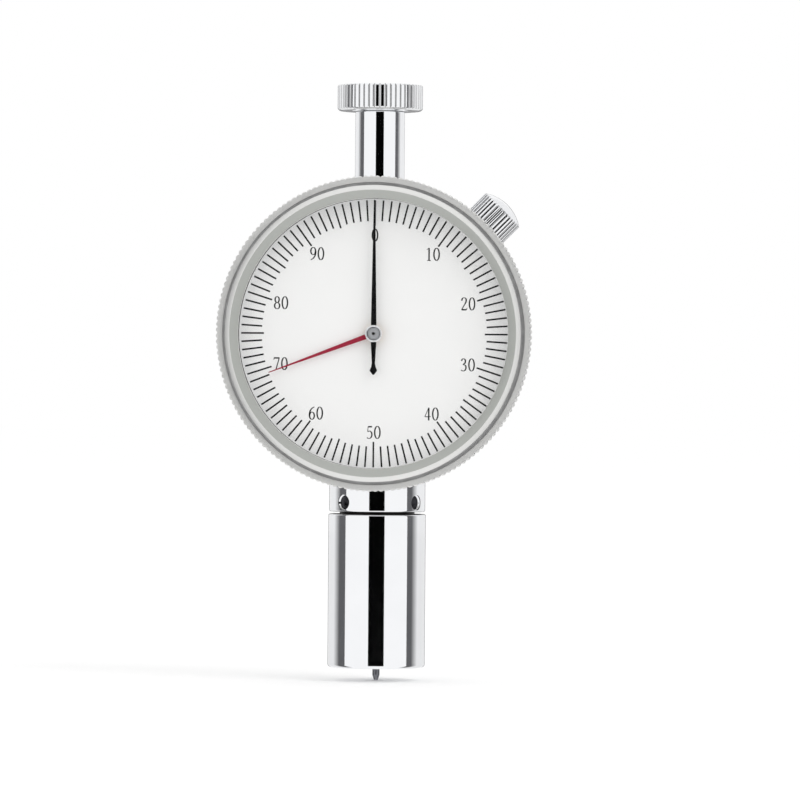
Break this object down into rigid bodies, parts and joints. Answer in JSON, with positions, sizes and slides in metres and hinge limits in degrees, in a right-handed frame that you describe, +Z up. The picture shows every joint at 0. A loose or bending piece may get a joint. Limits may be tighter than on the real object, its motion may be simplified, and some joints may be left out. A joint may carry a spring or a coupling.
{
  "type": "dial hardness tester",
  "caption": "Hand-held dial hardness tester for rubber: a spring-loaded indenter in a round presser foot drives the hand by rack and gears, with a peak hand and a reset knob.",
  "frame": {"origin": "centre of the presser foot's flat contact face, on the plunger's axis", "axes": "+Z runs up the plunger's axis to the top knob, -Y is the way the dial faces, +X is on the right of someone who reads the dial"},
  "size_m": [0.06, 0.0257, 0.1143],
  "materials": {
    "polished_chrome": "hard chrome plate, mirror polished",
    "satin_nickel": "satin nickel plate, fine turned grain",
    "turned_brass": "bright turned brass",
    "bright_steel": "ground and lightly polished steel",
    "hardened_steel": "dark hardened and lapped steel",
    "spring_steel": "oiled spring steel",
    "bronze_bush": "plain bearing bronze",
    "black_screw_steel": "black oxide",
    "crystal_glass": "clear polished",
    "black_rubber": "soft matte",
    "dial_white": "white enamel with black printed scale",
    "spacer_aluminium": "light satin",
    "hand_black": "black lacquer, satin",
    "hand_red": "crimson lacquer, satin"
  },
  "bodies": {
    "housing": {"presser_foot_tube": "polished_chrome", "tube_collar": "polished_chrome", "collar_set_screws": "black_screw_steel", "foot_guide_bush": "bronze_bush", "spring_adjuster": "turned_brass", "upper_guide_bush": "bronze_bush", "main_spring": "spring_steel", "case": "satin_nickel", "back_cover": "satin_nickel", "back_cover_screws": "bright_steel", "handle_stem": "polished_chrome", "movement_front_plate": "turned_brass", "movement_rear_plate": "turned_brass", "movement_pillars": "turned_brass", "movement_screws": "bright_steel", "centre_bush": "turned_brass", "hairspring": "spring_steel", "hairspring_stud": "turned_brass", "knob_bush": "polished_chrome", "knob_bush_nut": "turned_brass", "bezel_snap_ring": "spring_steel"},
    "plunger": {"plunger_rod": "bright_steel", "indenter": "hardened_steel", "rod_guide_pin": "bright_steel", "seat_clip": "spring_steel", "spring_seat": "turned_brass"},
    "rack_arbor_train": {"rack_arbor": "bright_steel", "intermediate_wheel": "turned_brass"},
    "centre_train": {"centre_arbor": "bright_steel", "main_hand": "hand_black", "hand_boss": "turned_brass", "hand_cap": "polished_chrome"},
    "takeup_train": {"takeup_arbor": "bright_steel", "takeup_wheel": "turned_brass", "hairspring_collet": "turned_brass"},
    "peak_hand_group": {"peak_hand_sleeve": "turned_brass", "crown_wheel": "turned_brass", "peak_hand": "hand_red"},
    "reset_drive": {"reset_knob": "polished_chrome", "reset_shaft": "bright_steel", "reset_pinion": "turned_brass", "shaft_retaining_ring": "spring_steel"},
    "bezel_group": {"bezel": "satin_nickel", "crystal": "crystal_glass", "crystal_gasket": "black_rubber", "dial_spacer_ring": "spacer_aluminium", "dial": "dial_white"},
    "top_knob_group": {"top_knob": "polished_chrome", "knob_stud": "bright_steel"}
  },
  "joints": [
    {"name": "plunger_slide", "type": "slide", "parent": "housing", "child": "plunger", "axis": [0, 0, 1], "range_m": [0, 0.0025], "stiffness_N_per_m": 3000, "springref_m": -0.00018, "deforming": ["main_spring"]},
    {"name": "rack_arbor_turn", "type": "hinge", "parent": "housing", "child": "rack_arbor_train", "pos_m": [-0.00319, 0, 0.05448], "axis": [0, 1, 0], "range_deg": [-90, 0]},
    {"name": "main_hand_turn", "type": "hinge", "parent": "housing", "child": "centre_train", "pos_m": [0, 0, 0.0639], "axis": [0, 1, 0], "range_deg": [0, 360]},
    {"name": "takeup_turn", "type": "hinge", "parent": "housing", "child": "takeup_train", "pos_m": [-0.00456, 0, 0.07042], "axis": [0, 1, 0], "range_deg": [-120, 0], "deforming": ["hairspring"]},
    {"name": "reset_knob_turn", "type": "hinge", "parent": "housing", "child": "reset_drive", "pos_m": [0, -0.0044, 0.0639], "axis": [0.7071, 0, 0.7071], "range_deg": [-997.92, 442.08]},
    {"name": "peak_hand_turn", "type": "hinge", "parent": "housing", "child": "peak_hand_group", "pos_m": [0, 0, 0.0639], "axis": [0, 1, 0], "range_deg": [-249.48, 110.52]},
    {"name": "bezel_turn", "type": "hinge", "parent": "housing", "child": "bezel_group", "pos_m": [0, 0, 0.0639], "axis": [0, 1, 0], "continuous": true},
    {"name": "top_knob_turn", "type": "hinge", "parent": "housing", "child": "top_knob_group", "pos_m": [0, 0, 0.1067], "axis": [0, 0, 1], "continuous": true}
  ],
  "couplings": [
    {"joint": "rack_arbor_turn", "follows": "plunger_slide", "rad_per_m": -628.32},
    {"joint": "main_hand_turn", "follows": "plunger_slide", "rad_per_m": 2513.3},
    {"joint": "takeup_turn", "follows": "plunger_slide", "rad_per_m": -837.76},
    {"joint": "peak_hand_turn", "follows": "reset_knob_turn", "ratio": 0.25}
  ]
}
